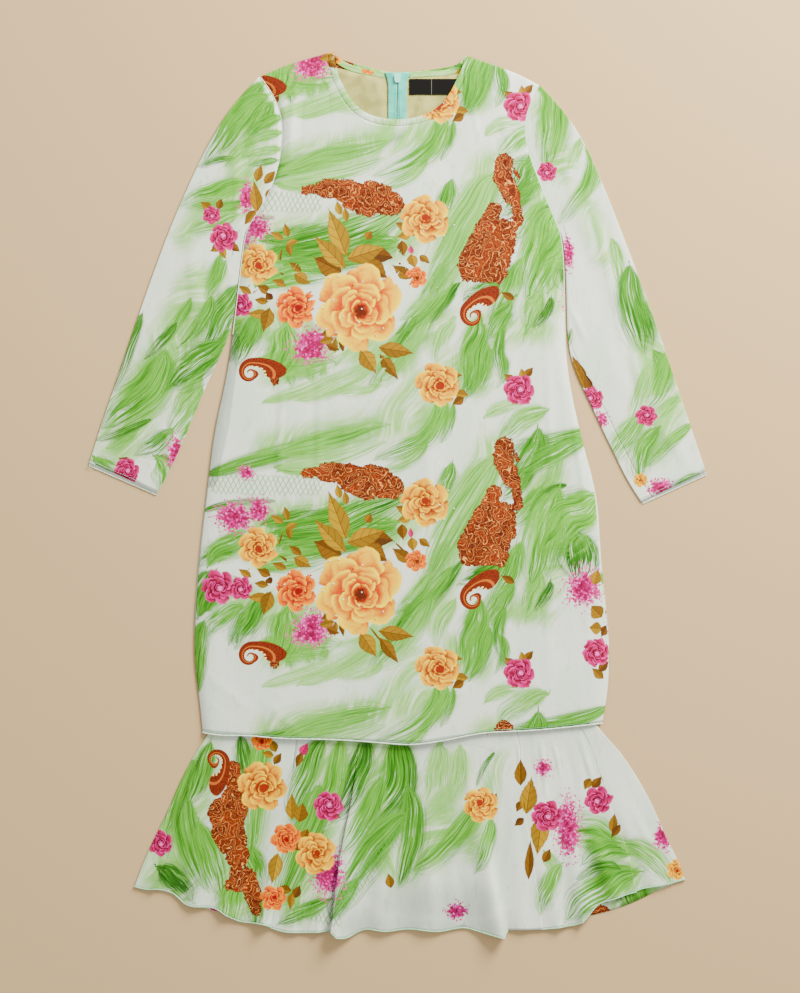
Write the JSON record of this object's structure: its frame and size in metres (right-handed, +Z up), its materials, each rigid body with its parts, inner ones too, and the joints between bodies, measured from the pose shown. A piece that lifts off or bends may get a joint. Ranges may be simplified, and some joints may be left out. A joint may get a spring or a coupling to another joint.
{
  "type": "baju kurung",
  "caption": "Long tunic with round neck, set-in sleeves and back zip, laid flat on its flounced skirt, in pale printed chiffon.",
  "frame": {"origin": "middle of the underside's bounding box, on the surface that the garment lies on", "axes": "+Y towards the neck, +X to the right as seen from above, +Z up out of the garment's front"},
  "size_m": [0.8631, 1.2402, 0.0187],
  "materials": {
    "chiffon": "sheer printed chiffon over a pale lining",
    "lining": "smooth olive lining",
    "zip_tape": "fine woven tape",
    "zip_enamel": "satin enamel",
    "label": "bare woven label"
  },
  "bodies": {
    "root": {"tunic_front": "chiffon", "tunic_back_left": "chiffon", "tunic_back_right": "chiffon", "sleeve_left": "chiffon", "sleeve_right": "chiffon", "neck_binding_front": "chiffon", "neck_facing_left": "chiffon", "neck_facing_right": "chiffon", "lining_back_left": "lining", "lining_back_right": "lining", "zip_tape_left": "zip_tape", "zip_tape_right": "zip_tape", "zip_slider": "zip_enamel", "neck_label": "label", "skirt_waistband_front": "chiffon", "skirt_waistband_back": "chiffon", "skirt_front": "chiffon", "skirt_back": "chiffon", "flounce_side_left": "chiffon", "flounce_front_1": "chiffon", "flounce_front_2": "chiffon", "flounce_front_3": "chiffon", "flounce_front_4": "chiffon", "flounce_side_right": "chiffon", "flounce_back_1": "chiffon", "flounce_back_2": "chiffon"},
    "pull": {"zip_pull": "zip_enamel"}
  },
  "joints": [
    {"name": "pull_swing", "type": "hinge", "parent": "root", "child": "pull", "pos_m": [0, 0.584, 0.00135], "axis": [1, 0, 0], "range_deg": [0, 175]}
  ]
}
